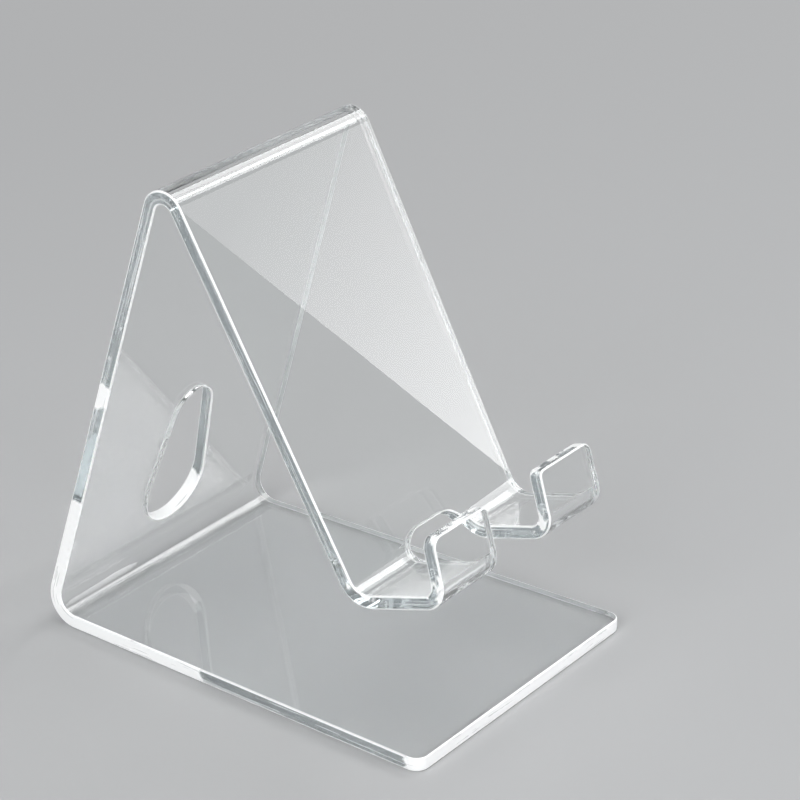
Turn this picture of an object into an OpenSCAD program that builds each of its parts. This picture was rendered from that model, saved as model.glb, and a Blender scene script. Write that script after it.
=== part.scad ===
// Phone stand made from one clear sheet. The sheet is cut flat, then bent across its
// width in four places: base, rear panel, back rest, two ledges and two upturned lips.
// A notch for a charging cable parts the ledges, and the rear panel has a cable hole.
// Each flat and each bend is one node, and neighbours meet face to face.
// +Z is up, the phone faces -Y, and the origin is on the floor under the middle.

/* [Sheet] */
// Thickness of the sheet
sheet_t = 3; // [2.5:0.25:3.5]
// Width of the sheet at the front edge of the base
front_w = 75; // [68:1:85]
// Width of the sheet at the tips of the lips
tip_w = 56; // [50:1:65]

/* [Flats] */
// Length of the base, up to the rear bend
base_l = 93; // [88:1:105]
// Length of the rear panel
panel_l = 96.5; // [90:0.5:105]
// Length of the back rest
rest_l = 81.5; // [75:0.5:88]
// Length of each ledge that carries the phone
ledge_l = 13; // [11:0.5:16]
// Length of each upturned lip
lip_l = 9.5; // [7:0.5:14]

/* [Bends] */
// Degrees turned upwards behind the base
rear_turn = 105.5; // [100:0.5:108]
// Degrees turned over the crest
crest_turn = 134.5; // [130:0.5:138]
// Degrees turned back at the ledges
ledge_turn = 77; // [72:0.5:84]
// Degrees turned back at the lips
lip_turn = 90; // [80:0.5:95]
// Inside radius of the rear bend
rear_r = 4; // [3:0.5:6]
// Inside radius of the crest bend
crest_r = 2; // [1.5:0.5:4]
// Inside radius of the ledge bends
ledge_r = 4.5; // [4:0.5:6]
// Inside radius of the lip bends
lip_r = 2.5; // [2:0.5:4]

/* [Cable notch] */
// Width of the notch between the two ledges
notch_w = 19; // [16:0.5:22]
// How far the notch rises into the back rest above the ledge bends
notch_rise = 1.5; // [1:0.5:4]
// Radius of the notch's top corners
notch_r = 5.5; // [4:0.5:6]

/* [Cable hole] */
// Height of the lower, wider end's centre along the rear panel
hole_low = 13.5; // [13:0.5:16]
// Height of the upper, narrower end's centre along the rear panel
hole_high = 33; // [28:0.5:40]
// Radius of the lower end
hole_low_r = 9.25; // [8:0.25:10]
// Radius of the upper end
hole_high_r = 6; // [4:0.25:7]

/* [Corners] */
// Radius of the base's front corners
front_corner_r = 3; // [1:0.5:6]
// Radius of each lip's outer corner
lip_outer_r = 2.5; // [1:0.5:3]
// Radius of each lip's corner beside the notch
lip_inner_r = 1.5; // [1:0.5:3]

/* [Hidden] */
$fn = 96;
arc_steps = 32;
clear_sheet = [0.86, 0.92, 0.94, 0.55];

// The five flats and the four bends between them, in order along the sheet.
// A positive bend turns towards the sheet's upper side, a negative one away from it.
flats = [base_l, panel_l, rest_l, ledge_l, lip_l];
turns = [rear_turn, crest_turn, -ledge_turn, -lip_turn];
inside_r = [rear_r, crest_r, ledge_r, lip_r];
middle_r = [for (r = inside_r) r + sheet_t / 2];
bend_l = [for (i = [0 : 3]) middle_r[i] * abs(turns[i]) * PI / 180];

// Names for the flats and the bends
BASE = 0;
PANEL = 1;
REST = 2;
LEDGE = 3;
LIP = 4;
REAR_BEND = 0;
CREST_BEND = 1;
LEDGE_BEND = 2;
LIP_BEND = 3;

// The base's front edge and the back of the rear bend are the stand's two ends
stand_depth = base_l + rear_r + sheet_t;

// How far the notch's cutter reaches past the back rest and to each side of it
notch_reach = 2 * (ledge_r + sheet_t);

function unit(v) = v / norm(v);
function along(a) = [cos(a), sin(a)];
function across(a) = [-sin(a), cos(a)];

// Points round an arc, anticlockwise from one angle to another
function arc(centre, r, from, to) =
    [for (k = [0 : arc_steps]) centre + r * along(from + (to - from) * k / arc_steps)];

// Degrees that the sheet has turned by the start of flat i
function heading(i) = i == 0 ? 0 : heading(i - 1) + turns[i - 1];

// Middle of the sheet's thickness, as [y, z], where flat i starts and where it ends
function flat_start(i) =
    i == 0 ? [-stand_depth / 2, sheet_t / 2]
    : flat_end(i - 1)
        + middle_r[i - 1] * sign(turns[i - 1]) * (across(heading(i - 1)) - across(heading(i)));
function flat_end(i) = flat_start(i) + flats[i] * along(heading(i));

// The sheet narrows evenly along its length. Distances along it are measured when flat.
function distance_to(i) = i == 0 ? 0 : distance_to(i - 1) + flats[i - 1] + bend_l[i - 1];
sheet_l = distance_to(LIP) + lip_l;
function half_width(s) = (front_w - (front_w - tip_w) * s / sheet_l) / 2;

// A bend keeps one width, that of the sheet at the middle of the bend
function bend_half_w(i) = half_width(distance_to(i) + flats[i] + bend_l[i] / 2);
function start_half_w(i) = i == BASE ? front_w / 2 : bend_half_w(i - 1);
function end_half_w(i) = i == LIP ? tip_w / 2 : bend_half_w(i);

// Puts a shape drawn at the origin, running along +Y, where flat i starts
module at_flat(i) {
    start = flat_start(i);
    translate([0, start[0], start[1]]) rotate([heading(i), 0, 0]) children();
}

// Gives an outline the sheet's thickness, half above Z = 0 and half below
module thick() {
    translate([0, 0, -sheet_t / 2]) linear_extrude(sheet_t) children();
}

// Bend i between two places across the sheet
module bend(i, from_x, to_x) {
    side = sign(turns[i]);
    low_edge = side > 0 ? from_x : -to_x;
    at_flat(i)
        translate([0, flats[i], side * middle_r[i]])
            rotate([0, side * 90, 0])
                rotate_extrude(angle = abs(turns[i]))
                    translate([inside_r[i], low_edge]) square([sheet_t, to_x - from_x]);
}

// Flat i's outline over the whole width
module whole_outline(i) {
    start_w = start_half_w(i);
    end_w = end_half_w(i);
    polygon([[-start_w, 0], [start_w, 0], [end_w, flats[i]], [-end_w, flats[i]]]);
}

// Flat i's outline from the notch to the right-hand edge
module hook_outline(i) {
    inner = notch_w / 2;
    polygon([[inner, 0], [start_half_w(i), 0], [end_half_w(i), flats[i]], [inner, flats[i]]]);
}

// What rounding the corner at p takes off. The corner's edges leave it along u and v.
module corner_waste(p, u, v, r) {
    half_angle = acos(u * v) / 2;
    centre = p + unit(u + v) * r / sin(half_angle);
    tangent_l = r / tan(half_angle);
    outside = p - (u + v) * r;
    difference() {
        polygon([centre, p + u * tangent_l, outside, p + v * tangent_l]);
        translate(centre) circle(r);
    }
}

// The hole is an arc over its upper end, an arc under its lower end, and the two straight
// sides that touch both
module cable_hole_outline() {
    lean = asin((hole_low_r - hole_high_r) / (hole_high - hole_low));
    polygon(concat(
        arc([0, hole_high], hole_high_r, lean, 180 - lean),
        arc([0, hole_low], hole_low_r, 180 - lean, 360 + lean)
    ));
}

// The notch as seen square to the back rest, with its two round top corners
module notch_outline() {
    top = rest_l - notch_rise;
    difference() {
        translate([-notch_w / 2, top]) square([notch_w, notch_reach]);
        for (side = [-1, 1])
            corner_waste([side * notch_w / 2, top], [-side, 0], [0, 1], notch_r);
    }
}

module base_plate() {
    start_w = front_w / 2;
    end_w = end_half_w(BASE);
    color(clear_sheet) at_flat(BASE) thick() difference() {
        whole_outline(BASE);
        for (side = [-1, 1])
            corner_waste([side * start_w, 0], [-side, 0],
                unit([side * (end_w - start_w), base_l]), front_corner_r);
    }
}

module rear_bend() {
    half_w = bend_half_w(REAR_BEND);
    color(clear_sheet) bend(REAR_BEND, -half_w, half_w);
}

module rear_panel() {
    color(clear_sheet) at_flat(PANEL) thick() difference() {
        whole_outline(PANEL);
        cable_hole_outline();
    }
}

module crest_bend() {
    half_w = bend_half_w(CREST_BEND);
    color(clear_sheet) bend(CREST_BEND, -half_w, half_w);
}

module back_rest() {
    color(clear_sheet) at_flat(REST) thick() difference() {
        whole_outline(REST);
        notch_outline();
    }
}

// The four pieces of the right-hand hook, in order from the back rest
module hook_ledge_bend() {
    difference() {
        bend(LEDGE_BEND, 0, bend_half_w(LEDGE_BEND));
        at_flat(REST)
            translate([0, 0, -notch_reach]) linear_extrude(2 * notch_reach) notch_outline();
    }
}

module hook_ledge() {
    at_flat(LEDGE) thick() hook_outline(LEDGE);
}

module hook_lip_bend() {
    bend(LIP_BEND, notch_w / 2, bend_half_w(LIP_BEND));
}

module hook_lip() {
    tip = tip_w / 2;
    at_flat(LIP) thick() difference() {
        hook_outline(LIP);
        corner_waste([tip, lip_l], [-1, 0], unit([start_half_w(LIP) - tip, -lip_l]), lip_outer_r);
        corner_waste([notch_w / 2, lip_l], [1, 0], [0, -1], lip_inner_r);
    }
}

// Right is +X, and the left-hand hook is its mirror image
module right_ledge_bend() { color(clear_sheet) hook_ledge_bend(); }
module right_ledge() { color(clear_sheet) hook_ledge(); }
module right_lip_bend() { color(clear_sheet) hook_lip_bend(); }
module right_lip() { color(clear_sheet) hook_lip(); }
module left_ledge_bend() { color(clear_sheet) mirror([1, 0, 0]) hook_ledge_bend(); }
module left_ledge() { color(clear_sheet) mirror([1, 0, 0]) hook_ledge(); }
module left_lip_bend() { color(clear_sheet) mirror([1, 0, 0]) hook_lip_bend(); }
module left_lip() { color(clear_sheet) mirror([1, 0, 0]) hook_lip(); }

base_plate();
rear_bend();
rear_panel();
crest_bend();
back_rest();
left_ledge_bend();
right_ledge_bend();
left_ledge();
right_ledge();
left_lip_bend();
right_lip_bend();
left_lip();
right_lip();
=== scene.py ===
import math

import bpy
from mathutils import Matrix, Vector


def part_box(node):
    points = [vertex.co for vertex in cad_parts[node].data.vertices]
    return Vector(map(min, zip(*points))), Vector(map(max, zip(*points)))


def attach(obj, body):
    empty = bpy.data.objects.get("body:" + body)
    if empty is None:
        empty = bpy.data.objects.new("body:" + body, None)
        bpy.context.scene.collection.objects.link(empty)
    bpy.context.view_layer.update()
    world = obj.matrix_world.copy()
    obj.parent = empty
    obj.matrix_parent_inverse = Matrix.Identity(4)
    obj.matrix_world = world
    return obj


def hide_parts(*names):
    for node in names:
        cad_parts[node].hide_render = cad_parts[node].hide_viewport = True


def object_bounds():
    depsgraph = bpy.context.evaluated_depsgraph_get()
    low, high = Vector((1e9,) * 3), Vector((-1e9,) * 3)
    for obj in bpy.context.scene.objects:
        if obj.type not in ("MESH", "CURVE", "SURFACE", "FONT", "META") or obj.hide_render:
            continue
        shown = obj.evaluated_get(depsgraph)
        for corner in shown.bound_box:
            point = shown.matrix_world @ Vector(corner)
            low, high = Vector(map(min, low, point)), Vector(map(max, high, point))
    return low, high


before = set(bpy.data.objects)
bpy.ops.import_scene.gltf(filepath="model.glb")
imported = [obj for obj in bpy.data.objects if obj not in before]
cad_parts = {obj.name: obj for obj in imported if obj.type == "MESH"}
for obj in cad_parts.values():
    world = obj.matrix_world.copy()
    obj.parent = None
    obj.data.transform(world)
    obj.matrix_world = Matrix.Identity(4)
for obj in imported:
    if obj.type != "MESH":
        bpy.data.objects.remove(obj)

CAD_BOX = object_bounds()
MM = 0.001

# The sheet's driving sizes, in millimetres and degrees, as the CAD bends it.
# check_against_cad() stops the script if the bent sheet doesn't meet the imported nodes.
FRONT_W = 75.0
TIP_W = 56.0
FLATS = (93.0, 96.5, 81.5, 13.0, 9.5)
TURNS = (105.5, 134.5, -77.0, -90.0)
INSIDE_R = (4.0, 2.0, 4.5, 2.5)
NOTCH_W = 19.0
NOTCH_RISE = 1.5
NOTCH_R = 5.5
HOLE_LOW, HOLE_HIGH = 13.5, 33.0
HOLE_LOW_R, HOLE_HIGH_R = 9.25, 6.0
FRONT_CORNER_R = 3.0
LIP_OUTER_R = 2.5
LIP_INNER_R = 1.5
REAR, CREST, LEDGE, LIP = range(4)

low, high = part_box("base_plate")
THICK = (high.z - low.z) / MM
FRONT_Y = low.y / MM
BOTTOM_Z = low.z / MM

# Finish of the cut edge
ROUND_R = 0.35
ROUND_STEPS = 4
CROWN = 0.05
WALL_STEPS = 4
BEND_STEP = 4.0
ARC_STEP = 7.5
FLARE = 0.18
FLARE_FADE = 2.5


def unit(x, y):
    length = math.hypot(x, y)
    return x / length, y / length


# ---------------------------------------------------------------- the bent path

MIDDLE_R = [r + THICK / 2 for r in INSIDE_R]
BEND_L = [MIDDLE_R[i] * math.radians(abs(TURNS[i])) for i in range(4)]
START = []
END = []
HEADING = []


def lay_out_path():
    """Where each flat starts and ends along the sheet, and its place and heading."""
    y, z, heading, distance = FRONT_Y, BOTTOM_Z + THICK / 2, 0.0, 0.0
    for i, length in enumerate(FLATS):
        START.append((distance, y, z))
        HEADING.append(heading)
        y += length * math.cos(heading)
        z += length * math.sin(heading)
        distance += length
        END.append((distance, y, z))
        if i < len(TURNS):
            turn = math.radians(TURNS[i])
            reach = MIDDLE_R[i] * math.copysign(1, turn)
            y += reach * (-math.sin(heading) + math.sin(heading + turn))
            z += reach * (math.cos(heading) - math.cos(heading + turn))
            heading += turn
            distance += BEND_L[i]


lay_out_path()
SHEET_L = END[-1][0]


def half_width(s):
    return (FRONT_W - (FRONT_W - TIP_W) * s / SHEET_L) / 2


def bend_share(s):
    """(bend, how far round it as 0 to 1) for a distance along the sheet, or (None, 0) on a flat."""
    for i in range(4):
        if END[i][0] < s < START[i + 1][0]:
            return i, (s - END[i][0]) / BEND_L[i]
    return None, 0.0


def fold(x, s, w, normal=None):
    """A point of the flat blank, at height w off its middle, in its place on the bent sheet.
    With a normal of the blank, (across, along, out), returns that turned the same way too."""
    bend, share = bend_share(s)
    if bend is None:
        i = max(k for k in range(5) if k == 0 or s >= START[k][0] - 1e-9)
        distance, y, z = START[i]
        heading, shrink = HEADING[i], 1.0
        y += (s - distance) * math.cos(heading) - w * math.sin(heading)
        z += (s - distance) * math.sin(heading) + w * math.cos(heading)
    else:
        side = math.copysign(1, TURNS[bend])
        start = HEADING[bend]
        heading = start + share * math.radians(TURNS[bend])
        radius = MIDDLE_R[bend] * side
        y = END[bend][1] - radius * math.sin(start) + (radius - w) * math.sin(heading)
        z = END[bend][2] + radius * math.cos(start) - (radius - w) * math.cos(heading)
        shrink = 1 - w / radius
        # heated edges spread on the inside of a bend and draw in on the outside
        near_edge = math.exp(-max(0.0, half_width(s) - abs(x)) / FLARE_FADE)
        x += math.copysign(FLARE * math.sin(math.pi * share) * near_edge * side * 2 * w / THICK, x)
    point = Vector((x, y, z)) * MM
    if normal is None:
        return point
    a, b, c = normal[0], normal[1] / shrink, normal[2]
    cos, sin = math.cos(heading), math.sin(heading)
    return point, Vector((a, b * cos - c * sin, b * sin + c * cos)).normalized()


# ---------------------------------------------------------------- the blank's outline


def arc(cx, cs, r, first, last, hollow=False):
    """Points (x, s, outward x, outward s) round an arc, by angle in degrees.
    hollow: the sheet is outside the arc."""
    steps = max(3, math.ceil(abs(last - first) / ARC_STEP))
    out = -1 if hollow else 1
    points = []
    for k in range(steps + 1):
        a = math.radians(first + (last - first) * k / steps)
        points.append((cx + r * math.cos(a), cs + r * math.sin(a), out * math.cos(a), out * math.sin(a)))
    return points


def bend_rows(i):
    steps = math.ceil(abs(TURNS[i]) / BEND_STEP)
    return [END[i][0] + BEND_L[i] * k / steps for k in range(steps + 1)]


def right_side():
    """The outline's right half, from the middle of the front edge round to the middle of the notch's top.
    Each entry is (x, s, outward x, outward s, key), where key names a bend row's end."""
    lean = (FRONT_W - TIP_W) / 2 / SHEET_L
    out_x, out_s = unit(1.0, lean)
    turn = math.degrees(math.atan(lean))
    chain = []

    def corner_x(s, r):
        return half_width(s) - r / out_x

    for p in arc(corner_x(FRONT_CORNER_R, FRONT_CORNER_R), FRONT_CORNER_R, FRONT_CORNER_R, -90, turn):
        chain.append((*p, None))
    for i in range(4):
        for k, s in enumerate(bend_rows(i)):
            chain.append((half_width(s), s, out_x, out_s, ("side", i, k)))
    for p in arc(corner_x(SHEET_L - LIP_OUTER_R, LIP_OUTER_R), SHEET_L - LIP_OUTER_R, LIP_OUTER_R, turn, 90):
        chain.append((*p, None))
    inner = NOTCH_W / 2
    for p in arc(inner + LIP_INNER_R, SHEET_L - LIP_INNER_R, LIP_INNER_R, 90, 180):
        chain.append((*p, None))
    top = END[LEDGE][0] - NOTCH_RISE
    centre_s = top + NOTCH_R
    for i in (LIP, LEDGE):
        rows = list(enumerate(bend_rows(i)))
        for k, s in reversed(rows):
            if s >= centre_s:
                chain.append((inner, s, -1.0, 0.0, ("notch", i, k)))
                continue
            # round the notch's corner the row meets the rounded-off edge of the face
            a = math.acos((centre_s - s) / (NOTCH_R + ROUND_R))
            x, along = math.sin(a), math.cos(a)
            spot = (inner - NOTCH_R + NOTCH_R * x, centre_s - NOTCH_R * along)
            chain.append((*spot, -x, along, ("notch", i, k)))
    a = math.degrees(a)
    for p in arc(inner - NOTCH_R, centre_s, NOTCH_R, a - 90, -90, hollow=True)[1:]:
        chain.append((*p, None))
    return chain


def cable_hole():
    """The hole's outline, clockwise from the middle of its top, and which entry is the middle of its foot."""
    lean = math.degrees(math.asin((HOLE_LOW_R - HOLE_HIGH_R) / (HOLE_HIGH - HOLE_LOW)))
    base = START[REAR + 1][0]
    right = arc(0, base + HOLE_HIGH, HOLE_HIGH_R, 90, lean, hollow=True)
    right += arc(0, base + HOLE_LOW, HOLE_LOW_R, lean, -90, hollow=True)
    left = [(-x, s, -ox, os) for x, s, ox, os in reversed(right[1:-1])]
    return right + left, len(right) - 1


# ---------------------------------------------------------------- the sheet's mesh


def edge_profile():
    """Down the cut edge, from face to face: how far inside the outline, height, outward and upward share."""
    half = THICK / 2
    wall = half - ROUND_R
    points = []
    for k in range(ROUND_STEPS + 1):
        a = math.pi / 2 * k / ROUND_STEPS
        out, up = math.sin(a), math.cos(a)
        points.append((ROUND_R * (1 - out), wall + ROUND_R * up, out, up))
    for k in range(1, WALL_STEPS):
        w = wall * (1 - 2 * k / WALL_STEPS)
        slope = 2 * CROWN * w / wall**2
        points.append((-CROWN * (1 - (w / wall) ** 2), w, *unit(1.0, slope)))
    points += [(inset, -w, out, -up) for inset, w, out, up in reversed(points[: ROUND_STEPS + 1])]
    return points


class Sheet:
    """Collects the bent sheet's points and faces."""

    def __init__(self):
        self.points = []
        self.normals = []
        self.blank = []
        self.faces = []
        self.slots = []

    def add(self, x, s, w, normal):
        point, turned = fold(x, s, w, normal)
        self.points.append(point)
        self.normals.append(turned)
        self.blank.append((x * MM, s * MM, w * MM))
        return len(self.points) - 1

    def face(self, corners, slot):
        self.faces.append(corners)
        self.slots.append(slot)

    def edge(self, loop):
        """Builds the cut edge round a closed outline. Returns its points on the upper and the lower face."""
        rings = []
        for inset, w, out, up in edge_profile():
            ring = []
            for x, s, ox, os, _ in loop:
                ring.append(self.add(x - ox * inset, s - os * inset, w, (ox * out, os * out, up)))
            rings.append(ring)
        count = len(loop)
        for upper, lower in zip(rings, rings[1:]):
            for k in range(count):
                n = (k + 1) % count
                self.face((upper[k], lower[k], lower[n], upper[n]), EDGE_SLOT)
        return rings[0], rings[-1]


FACE_SLOT, EDGE_SLOT = 0, 1


def build_sheet():
    right = right_side()
    left = []
    for x, s, ox, os, key in reversed(right):
        left.append((-x, s, -ox, os, key and (key[0] + "_left", *key[1:])))
    loop = right + left
    where = {key: k for k, (*_, key) in enumerate(loop) if key}
    last = len(loop) - 1
    hole, hole_low = cable_hole()
    sheet = Sheet()
    outer_rings = sheet.edge(loop)
    hole_rings = sheet.edge([(*p, None) for p in hole])

    for ring, hole_ring, flip in zip(outer_rings, hole_rings, (False, True)):

        def face(corners):
            sheet.face(tuple(reversed(corners)) if flip else tuple(corners), FACE_SLOT)

        def at(kind, bend, row):
            return ring[where[kind, bend, row]]

        def span(first, final):
            return [ring[k] for k in range(first, final + 1)]

        final_row = [len(bend_rows(i)) - 1 for i in range(4)]

        # base, with its front edge between the outline's two ends
        face(span(0, where["side", REAR, 0]) + span(where["side_left", REAR, 0], last))
        # bends across the whole width
        for i in (REAR, CREST):
            for k in range(final_row[i]):
                right_pair = [at("side", i, k), at("side", i, k + 1)]
                face(right_pair + [at("side_left", i, k + 1), at("side_left", i, k)])
        # rear panel, in four faces round the cable hole
        low_right, high_right = at("side", REAR, final_row[REAR]), at("side", CREST, 0)
        low_left, high_left = at("side_left", REAR, final_row[REAR]), at("side_left", CREST, 0)
        face([low_right, high_right] + hole_ring[: hole_low + 1])
        face([high_left, low_left] + hole_ring[hole_low:] + hole_ring[:1])
        face([high_right, high_left, hole_ring[0]])
        face([low_left, low_right, hole_ring[hole_low]])
        # back rest, with the top of the notch
        face(
            span(where["side", CREST, final_row[CREST]], where["side", LEDGE, 0])
            + span(where["notch", LEDGE, 0], where["notch_left", LEDGE, 0])
            + span(where["side_left", LEDGE, 0], where["side_left", CREST, final_row[CREST]])
        )
        # the two hooks
        for tail in ("", "_left"):

            def band(i, k, j, m):
                corners = [at("side" + tail, i, k), at("side" + tail, j, m)]
                corners += [at("notch" + tail, j, m), at("notch" + tail, i, k)]
                face(corners if not tail else list(reversed(corners)))

            for i in (LEDGE, LIP):
                for k in range(final_row[i]):
                    band(i, k, i, k + 1)
            band(LEDGE, final_row[LEDGE], LIP, 0)
        face(span(where["side", LIP, final_row[LIP]], where["notch", LIP, final_row[LIP]]))
        face(span(where["notch_left", LIP, final_row[LIP]], where["side_left", LIP, final_row[LIP]]))
    return sheet


def check_against_cad(sheet):
    """Stops the script if a flat of the bent sheet doesn't fill its CAD node's box, back and upward."""
    hair, slack = 0.01, 0.4 * MM
    flats = ("base_plate", "rear_panel", "back_rest", "left_ledge", "left_lip")
    for node, (first, *_), (last, *_) in zip(flats, START, END):
        bent = []
        for point, blank in zip(sheet.points, sheet.blank):
            if (first - hair) * MM <= blank[1] <= (last + hair) * MM or node == "base_plate" and blank[1] < 0:
                bent.append(point)
        for corner, furthest in zip(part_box(node), (min, max)):
            assert abs(furthest(p.y for p in bent) - corner.y) < slack, node
            assert abs(furthest(p.z for p in bent) - corner.z) < slack, node


def sheet_object(sheet):
    mesh = bpy.data.meshes.new("bent_sheet")
    mesh.from_pydata(sheet.points, [], sheet.faces)
    mesh.polygons.foreach_set("material_index", sheet.slots)
    blank = mesh.attributes.new("blank", "FLOAT_VECTOR", "POINT")
    for k, place in enumerate(sheet.blank):
        blank.data[k].vector = place
    mesh.shade_smooth()
    mesh.normals_split_custom_set_from_vertices(sheet.normals)
    mesh.validate()
    thing = bpy.data.objects.new("bent_sheet", mesh)
    bpy.context.scene.collection.objects.link(thing)
    return thing


# ---------------------------------------------------------------- materials


# Painted highlights: stretches along the sheet where the cut edge is painted white: on the outer edges
# the front, the foot of the rear panel with its bend, and a nick halfway up it; inside the cable hole
# its foot, and its left side near the top. The hooks' bends and tips are painted white only in patches.
# On the right-hand side the base and the rear panel are painted white from end to end.
# Each span is in millimetres along the sheet.
PANEL = START[REAR + 1][0]
HOOK_PAINTED_HIGHLIGHT = (
    (END[LEDGE][0] - 1.0, START[LEDGE + 1][0] + 0.5),
    (END[LIP][0] + 1.0, START[LIP + 1][0] + 1.5),
    (SHEET_L - 1.2, SHEET_L + 1.0),
)
SIDE_PAINTED_HIGHLIGHT = ((END[REAR][0] - 36.0, PANEL + 23.0), (PANEL + 47.0, PANEL + 53.0))
RIGHT_PAINTED_HIGHLIGHT = (FRONT_CORNER_R, END[CREST][0])
FRONT_PAINTED_HIGHLIGHT = (-1.0, 4.0)
HOLE_FOOT_PAINTED_HIGHLIGHT = (PANEL + HOLE_LOW - HOLE_LOW_R - 1.0, PANEL + HOLE_LOW - 2.0)
HOLE_LEFT_PAINTED_HIGHLIGHT = (PANEL + HOLE_HIGH - 4.5, PANEL + HOLE_HIGH + 4.0)
# how gradually a painted highlight ends, and how far its ends wander to and fro
ABRUPT, HOOK_FADE, RIGHT_FADE = 0.6, 0.8, 6.0
WANDER = 4 * MM
# the outer edges are further than this from the middle of the sheet, and the hole and notch nearer
OUTER_EDGES = (14 * MM, 15 * MM)
# the cable hole's left side ends between these two places across the sheet
HOLE_LEFT = (-3 * MM, -1 * MM)
# how white the painted highlight along the arrises is, and from where to where about their start it whitens
ARRIS_PAINTED_HIGHLIGHT = 0.75
ARRIS_FADE = (-0.15, 0.1)


def new_material(name):
    material = bpy.data.materials.new(name)
    material.use_nodes = True
    tree = material.node_tree
    tree.nodes.clear()
    return material, tree


def add_node(tree, kind, **values):
    node = tree.nodes.new(kind)
    for key, value in values.items():
        if key in node.inputs:
            node.inputs[key].default_value = value
        else:
            setattr(node, key, value)
    return node


def ramp(tree, source, low, high, to_low=0.0, to_high=1.0):
    """source's stretch from low to high, spread over to_low to to_high and held at its ends."""
    node = add_node(tree, "ShaderNodeMapRange", interpolation_type="SMOOTHSTEP")
    for name, value in (("From Min", low), ("From Max", high), ("To Min", to_low), ("To Max", to_high)):
        node.inputs[name].default_value = value
    tree.links.new(source, node.inputs["Value"])
    return node.outputs[0]


def noise(tree, place, stretch, detail=2.0, roughness=0.5):
    """Noise over the flat blank, with so many spots per metre across, along and through the sheet."""
    mapping = add_node(tree, "ShaderNodeMapping")
    mapping.inputs["Scale"].default_value = stretch
    node = add_node(tree, "ShaderNodeTexNoise", Scale=1.0, Detail=detail, Roughness=roughness)
    tree.links.new(place, mapping.inputs["Vector"])
    tree.links.new(mapping.outputs[0], node.inputs["Vector"])
    return node.outputs[0]


def bumps(tree, shader, height, strength, distance):
    node = add_node(tree, "ShaderNodeBump", Strength=strength, Distance=distance)
    tree.links.new(height, node.inputs["Height"])
    tree.links.new(node.outputs[0], shader.inputs["Normal"])


def surface(tree, shader):
    """Makes a node's first output the material's surface."""
    output = add_node(tree, "ShaderNodeOutputMaterial")
    tree.links.new(shader.outputs[0], output.inputs["Surface"])


def mixed(tree, share, first, second):
    """The first shader where share is 0 and the second where it is 1."""
    mix = add_node(tree, "ShaderNodeMixShader")
    for value, socket in ((share, 0), (first.outputs[0], 1), (second.outputs[0], 2)):
        tree.links.new(value, mix.inputs[socket])
    return mix


def acrylic(name):
    """A clear acrylic shader, its material's tree and the place on the flat blank, in metres."""
    material, tree = new_material(name)
    shader = add_node(tree, "ShaderNodeBsdfPrincipled", IOR=1.49)
    shader.inputs["Transmission Weight"].default_value = 1.0
    surface(tree, shader)
    place = add_node(tree, "ShaderNodeAttribute", attribute_name="blank")
    return material, tree, shader, place.outputs["Vector"]


def acrylic_face():
    """Cast acrylic's glossy face: clear, very slightly uneven, with a faint haze of wiping marks."""
    material, tree, shader, place = acrylic("acrylic_face")
    shader.inputs["Base Color"].default_value = (0.985, 0.995, 0.993, 1)
    haze = ramp(tree, noise(tree, place, (60, 35, 60), 4.0, 0.6), 0.5, 0.75, 0.0, 0.02)
    tree.links.new(haze, shader.inputs["Roughness"])
    bumps(tree, shader, noise(tree, place, (18, 18, 18), 1.0), 0.03, 0.001)
    return material


def worked(tree, operation, *values):
    """One Math node over sockets and plain numbers. Returns its result."""
    node = add_node(tree, "ShaderNodeMath", operation=operation)
    for k, value in enumerate(values):
        if isinstance(value, bpy.types.NodeSocket):
            tree.links.new(value, node.inputs[k])
        else:
            node.inputs[k].default_value = value
    return node.outputs[0]


def stretches(tree, station, spans, fade):
    """1 where station, in metres, is inside any of the spans, in millimetres, and 0 elsewhere."""
    total = 0.0
    for first, last in spans:
        rise = ramp(tree, station, (first - fade) * MM, (first + fade) * MM)
        fall = ramp(tree, station, (last - fade) * MM, (last + fade) * MM, 1.0, 0.0)
        total = worked(tree, "MAXIMUM", worked(tree, "MULTIPLY", rise, fall), total)
    return total


def whitest(tree, *parts):
    """The greatest of several sockets."""
    most = parts[0]
    for part in parts[1:]:
        most = worked(tree, "MAXIMUM", most, part)
    return most


def long_painted_highlights(tree, station, across):
    """1 over the long painted highlights of the outer edges and of the cable hole's wall, and 0 elsewhere."""
    is_outer = ramp(tree, worked(tree, "ABSOLUTE", across), *OUTER_EDGES)
    is_right = ramp(tree, across, *OUTER_EDGES)
    is_left = ramp(tree, across, *HOLE_LEFT, 1.0, 0.0)
    hole_left = worked(tree, "MULTIPLY", stretches(tree, station, (HOLE_LEFT_PAINTED_HIGHLIGHT,), ABRUPT), is_left)
    hole = worked(tree, "ADD", hole_left, stretches(tree, station, (HOLE_FOOT_PAINTED_HIGHLIGHT,), ABRUPT))
    # the node's sockets: 0 is the share, 2 what it gives at 0 and 3 what it gives at 1
    mix = add_node(tree, "ShaderNodeMix")
    for value, socket in ((is_outer, 0), (hole, 2), (stretches(tree, station, SIDE_PAINTED_HIGHLIGHT, ABRUPT), 3)):
        tree.links.new(value, mix.inputs[socket])
    front = stretches(tree, station, (FRONT_PAINTED_HIGHLIGHT,), ABRUPT)
    right = worked(tree, "MULTIPLY", stretches(tree, station, (RIGHT_PAINTED_HIGHLIGHT,), RIGHT_FADE), is_right)
    return whitest(tree, mix.outputs[0], front, right)


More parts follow.
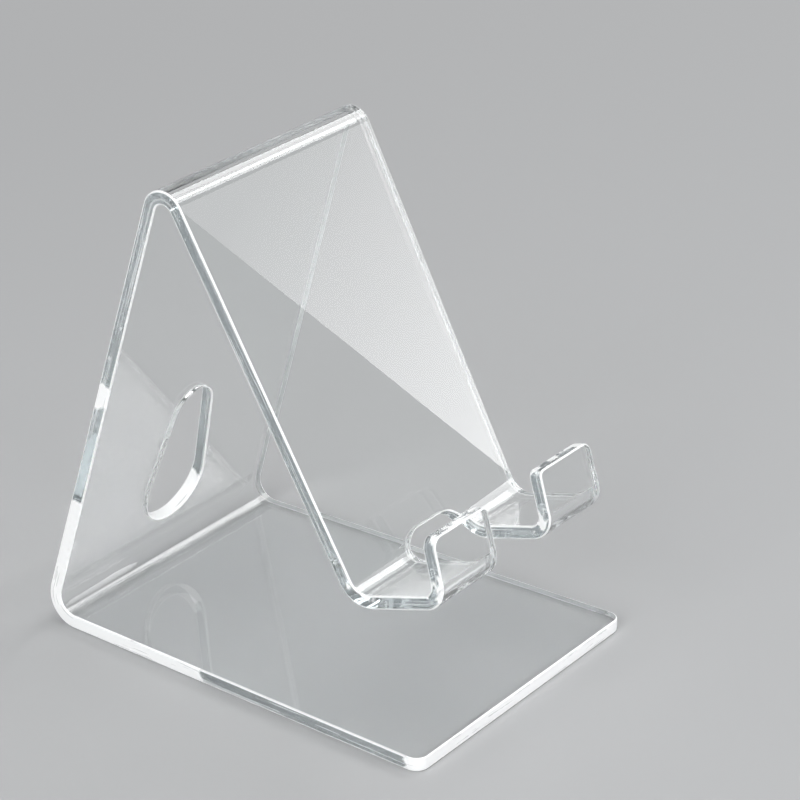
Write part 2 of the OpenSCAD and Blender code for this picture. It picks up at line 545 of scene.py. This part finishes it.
def painted_edge_highlights_and_marks(tree, place):
    """How white the cut edge is painted, from 0, clear, to 1, at a place on the flat blank: painted
    highlights along the arrises and over stretches of the edge, with faint saw lines and specks.
    """
    split = add_node(tree, "ShaderNodeSeparateXYZ")
    tree.links.new(place, split.inputs[0])
    across, along, height = split.outputs
    wall = THICK / 2 - ROUND_R
    off_middle = worked(tree, "ABSOLUTE", height)
    arris_highlight = ramp(tree, off_middle, *((wall + fade) * MM for fade in ARRIS_FADE), 0.0, ARRIS_PAINTED_HIGHLIGHT)
    uneven = worked(tree, "SUBTRACT", noise(tree, place, (120, 120, 500)), 0.5)
    station = worked(tree, "MULTIPLY_ADD", uneven, WANDER, along)
    # the long painted highlights, streaked along the sheet
    streaks = ramp(tree, noise(tree, place, (90, 90, 1300), 3.0), 0.3, 0.5, 0.7, 0.93)
    streaked_highlights = worked(tree, "MULTIPLY", long_painted_highlights(tree, station, across), streaks)
    # painted highlights over the hooks' bends and tips, in patches
    broken = ramp(tree, noise(tree, place, (260, 260, 520)), 0.44, 0.56, 0.0, 0.85)
    hook_highlights = worked(tree, "MULTIPLY", stretches(tree, station, HOOK_PAINTED_HIGHLIGHT, HOOK_FADE), broken)
    # faint lines along the clear stretches, the last of the saw's marks, and a few specks
    lines = ramp(tree, noise(tree, place, (35, 35, 1500)), 0.5, 0.62, 0.0, 0.42)
    specks = ramp(tree, noise(tree, place, (330, 330, 900)), 0.7, 0.75, 0.0, 0.45)
    return whitest(tree, arris_highlight, streaked_highlights, hook_highlights, lines, specks)


def acrylic_edge():
    """The cut edge: clear in the middle, where it looks deep into the sheet, and painted white along its
    two rounded arrises and over stretches along the sheet, as painted highlights."""
    material, tree, shader, place = acrylic("acrylic_edge")
    # white is the painted highlight's share: where it is high the edge is painted white, with little
    # transmission
    white = painted_edge_highlights_and_marks(tree, place)
    tint = add_node(tree, "ShaderNodeValToRGB")
    clear_end, white_end = tint.color_ramp.elements
    clear_end.color = (0.55, 0.61, 0.63, 1)
    white_end.color, white_end.position = (0.97, 0.98, 0.98, 1), 0.7
    tree.links.new(white, tint.inputs[0])
    tree.links.new(tint.outputs[0], shader.inputs["Base Color"])
    tree.links.new(ramp(tree, white, 0.0, 1.0, 0.97, 0.1), shader.inputs["Transmission Weight"])
    tree.links.new(ramp(tree, white, 0.0, 1.0, 0.04, 0.3), shader.inputs["Roughness"])
    bumps(tree, shader, noise(tree, place, (70, 70, 1500), 3.0, 0.6), 0.12, 0.0002)
    return material


def floor_paint():
    """Matt pale paint near the stand, passing into an even glow at the backdrop's level, so that the
    floor and the backdrop meet without a line."""
    material, tree = new_material("floor_paint")
    paint = add_node(tree, "ShaderNodeBsdfPrincipled", Roughness=0.8)
    paint.inputs["Base Color"].default_value = (0.41, 0.415, 0.42, 1)
    paint.inputs["Specular IOR Level"].default_value = 0.0
    glow = add_node(tree, "ShaderNodeEmission", Strength=1.0)
    glow.inputs["Color"].default_value = BACKDROP
    place = add_node(tree, "ShaderNodeTexCoord")
    away = add_node(tree, "ShaderNodeVectorMath", operation="LENGTH")
    tree.links.new(place.outputs["Object"], away.inputs[0])
    surface(tree, mixed(tree, ramp(tree, away.outputs["Value"], *FLOOR_FADE), paint, glow))
    return material


# ---------------------------------------------------------------- the stand

sheet = build_sheet()
check_against_cad(sheet)
stand = sheet_object(sheet)
stand.data.materials.append(acrylic_face())
stand.data.materials.append(acrylic_edge())
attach(stand, "root")
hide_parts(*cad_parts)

# ---------------------------------------------------------------- studio

BACKDROP = (0.47, 0.474, 0.48, 1)
OVERHEAD_DARK = (0.04, 0.04, 0.045, 1)
# how steeply upward, as the sine of the elevation, the backdrop ends and the dark begins
BACKDROP_TO, DARK_FROM = 0.56, 0.70
FLOOR_SIZE = 40.0
# how far from the stand, in metres, the floor starts and ends passing into the backdrop
FLOOR_FADE = (0.15, 0.75)
# a hair of air under the base, so that the floor is seen through the sheet and not fused to it
FLOOR_GAP = 0.0001
CAMERA_PLACE = (-0.47439, -0.35685, 0.33521)
CAMERA_AZIMUTH, CAMERA_ELEVATION, CAMERA_ROLL = -54.37, -25.35, 0.99
CAMERA_LENS, CAMERA_SENSOR = 141.98, 36.0
# the reflection card's brightness and distance, how much dimmer its dim end is, and how far along its
# edge the brightness changes
CARD_BRIGHTNESS, CARD_DISTANCE = 7.0, 0.15
CARD_DIM_END = 0.35
CARD_FADE = (0.1, 0.9)
# how far the card reaches past the back rest's reflection, as shares of its length and of its depth
CARD_SPARE_ENDS, CARD_SPARE_TOP = 0.05, 0.1


def staged_sheet(name, corners, material):
    """A flat four-cornered piece of the studio."""
    mesh = bpy.data.meshes.new(name)
    mesh.from_pydata(corners, [], [(0, 1, 2, 3)])
    mesh.materials.append(material)
    thing = bpy.data.objects.new(name, mesh)
    bpy.context.scene.collection.objects.link(thing)
    return thing


def make_floor():
    half = FLOOR_SIZE / 2
    z = CAD_BOX[0].z - FLOOR_GAP
    corners = [(-half, -half, z), (half, -half, z), (half, half, z), (-half, half, z)]
    staged_sheet("floor", corners, floor_paint())


def make_world():
    """An even pale backdrop all round, dark overhead so that the clear sheet has something to bend."""
    world = bpy.data.worlds.new("studio")
    world.use_nodes = True
    bpy.context.scene.world = world
    tree = world.node_tree
    tree.nodes.clear()
    place = add_node(tree, "ShaderNodeTexCoord")
    split = add_node(tree, "ShaderNodeSeparateXYZ")
    shade = add_node(tree, "ShaderNodeValToRGB")
    background = add_node(tree, "ShaderNodeBackground")
    output = add_node(tree, "ShaderNodeOutputWorld")
    tree.links.new(place.outputs["Generated"], split.inputs[0])
    tree.links.new(split.outputs["Z"], shade.inputs[0])
    tree.links.new(shade.outputs[0], background.inputs["Color"])
    tree.links.new(background.outputs[0], output.inputs["Surface"])
    pale, dark = shade.color_ramp.elements
    pale.position, pale.color = BACKDROP_TO, BACKDROP
    dark.position, dark.color = DARK_FROM, OVERHEAD_DARK


def softbox(name, place, aim, size, brightness):
    light = bpy.data.lights.new(name, "AREA")
    light.shape = "RECTANGLE"
    light.size, light.size_y = size
    light.energy = brightness * math.pi * size[0] * size[1]
    thing = bpy.data.objects.new(name, light)
    place, aim = Vector(place), Vector(aim)
    turn = (aim - place).to_track_quat("-Z", "Y").to_matrix().to_4x4()
    thing.matrix_world = Matrix.Translation(place) @ turn
    thing.visible_camera = False
    bpy.context.scene.collection.objects.link(thing)
    return thing


def make_camera():
    """At the viewing angle of the reference: in front and to the left of the stand, looking down at it."""
    data = bpy.data.cameras.new("camera")
    data.sensor_width = CAMERA_SENSOR
    data.lens = CAMERA_LENS
    data.clip_start = 0.01
    azimuth, elevation, roll = map(math.radians, (CAMERA_AZIMUTH, CAMERA_ELEVATION, CAMERA_ROLL))
    level = math.cos(elevation)
    forward = Vector((-math.sin(azimuth) * level, math.cos(azimuth) * level, math.sin(elevation)))
    right = forward.cross(Vector((0, 0, 1))).normalized()
    up = right.cross(forward)
    right, up = right * math.cos(roll) + up * math.sin(roll), up * math.cos(roll) - right * math.sin(roll)
    turn = Matrix((right, up, -forward)).transposed().to_4x4()
    camera = bpy.data.objects.new("camera", data)
    camera.matrix_world = Matrix.Translation(Vector(CAMERA_PLACE)) @ turn
    bpy.context.scene.collection.objects.link(camera)
    bpy.context.scene.camera = camera
    return camera


def card_glow():
    """The card's glow, brighter towards one end. It shows only by reflection off an outer face: rays
    that came through the sheet pass it by."""
    material, tree = new_material("card_glow")
    uv = add_node(tree, "ShaderNodeUVMap", uv_map="card")
    split = add_node(tree, "ShaderNodeSeparateXYZ")
    fade = add_node(tree, "ShaderNodeMapRange")
    fade.inputs["From Min"].default_value, fade.inputs["From Max"].default_value = CARD_FADE
    fade.inputs["To Min"].default_value = CARD_DIM_END * CARD_BRIGHTNESS
    fade.inputs["To Max"].default_value = CARD_BRIGHTNESS
    path = add_node(tree, "ShaderNodeLightPath")
    glow = add_node(tree, "ShaderNodeEmission")
    nothing = add_node(tree, "ShaderNodeBsdfTransparent")
    tree.links.new(uv.outputs[0], split.inputs[0])
    tree.links.new(split.outputs[0], fade.inputs["Value"])
    tree.links.new(fade.outputs[0], glow.inputs["Strength"])
    surface(tree, mixed(tree, path.outputs["Transmission Depth"], glow, nothing))
    # found by reflection only, so that it isn't sampled as a lamp
    material.cycles.emission_sampling = "NONE"
    return material


def reflection_card(eye):
    """A glowing card whose reflection fills the upper right half of the back rest, from corner to corner.
    Seen from eye, the card's lower edge lies along the back rest's diagonal."""
    s0, s1 = START[CREST + 1][0], END[CREST + 1][0]
    top_left, normal = fold(-half_width(s0), s0, -THICK / 2, (0, 0, -1))
    top_right = fold(half_width(s0), s0, -THICK / 2)
    low_right = fold(half_width(s1), s1, -THICK / 2)

    def bounce(point):
        ray = (point - eye).normalized()
        return point, ray - 2 * ray.dot(normal) * normal

    middle, towards = bounce((top_left + low_right) / 2)
    spot = middle + towards * CARD_DISTANCE

    def on_card(point):
        start, ray = bounce(point)
        return start + ray * ((spot - start).dot(towards) / ray.dot(towards))

    first, last, far = on_card(top_left), on_card(low_right), on_card(top_right)
    edge = (last - first).normalized()
    across = far - first
    across = (across - across.dot(edge) * edge).normalized()
    depth = (far - first).dot(across)
    length = (last - first).length
    spare = edge * CARD_SPARE_ENDS * length
    tip = far + across * CARD_SPARE_TOP * depth
    corners = [first - spare, last + spare, tip + spare, tip - spare]
    card = staged_sheet("reflection_card", corners, card_glow())
    layer = card.data.uv_layers.new(name="card")
    for loop, corner in zip(layer.data, corners):
        loop.uv = ((corner - first).dot(edge) / length, 0)
    card.visible_camera = False
    card.visible_diffuse = False
    card.visible_shadow = False


CENTRE = (CAD_BOX[0] + CAD_BOX[1]) / 2
camera = make_camera()
make_floor()
make_world()
softbox("overhead", (0, 0, 1.4), (0, 0, 0), (1.0, 1.0), 2.5)
softbox("left", (-1.10, -0.23, 0.65), CENTRE, (0.8, 0.8), 6.0)
softbox("front", (0.17, -1.21, 0.50), CENTRE, (0.8, 0.3), 10.5)
softbox("right", (0.9, -0.12, 0.85), CENTRE, (0.6, 0.4), 6.0)
reflection_card(camera.matrix_world.translation)

bpy.context.scene.view_settings.view_transform = "Standard"
cycles = bpy.context.scene.cycles
# without this, light that comes through the sheet off the floor is blurred and mostly lost
cycles.blur_glossy = 0.0
cycles.max_bounces = 32
cycles.transmission_bounces = 32
cycles.glossy_bounces = 24
cycles.caustics_reflective = True
cycles.caustics_refractive = True
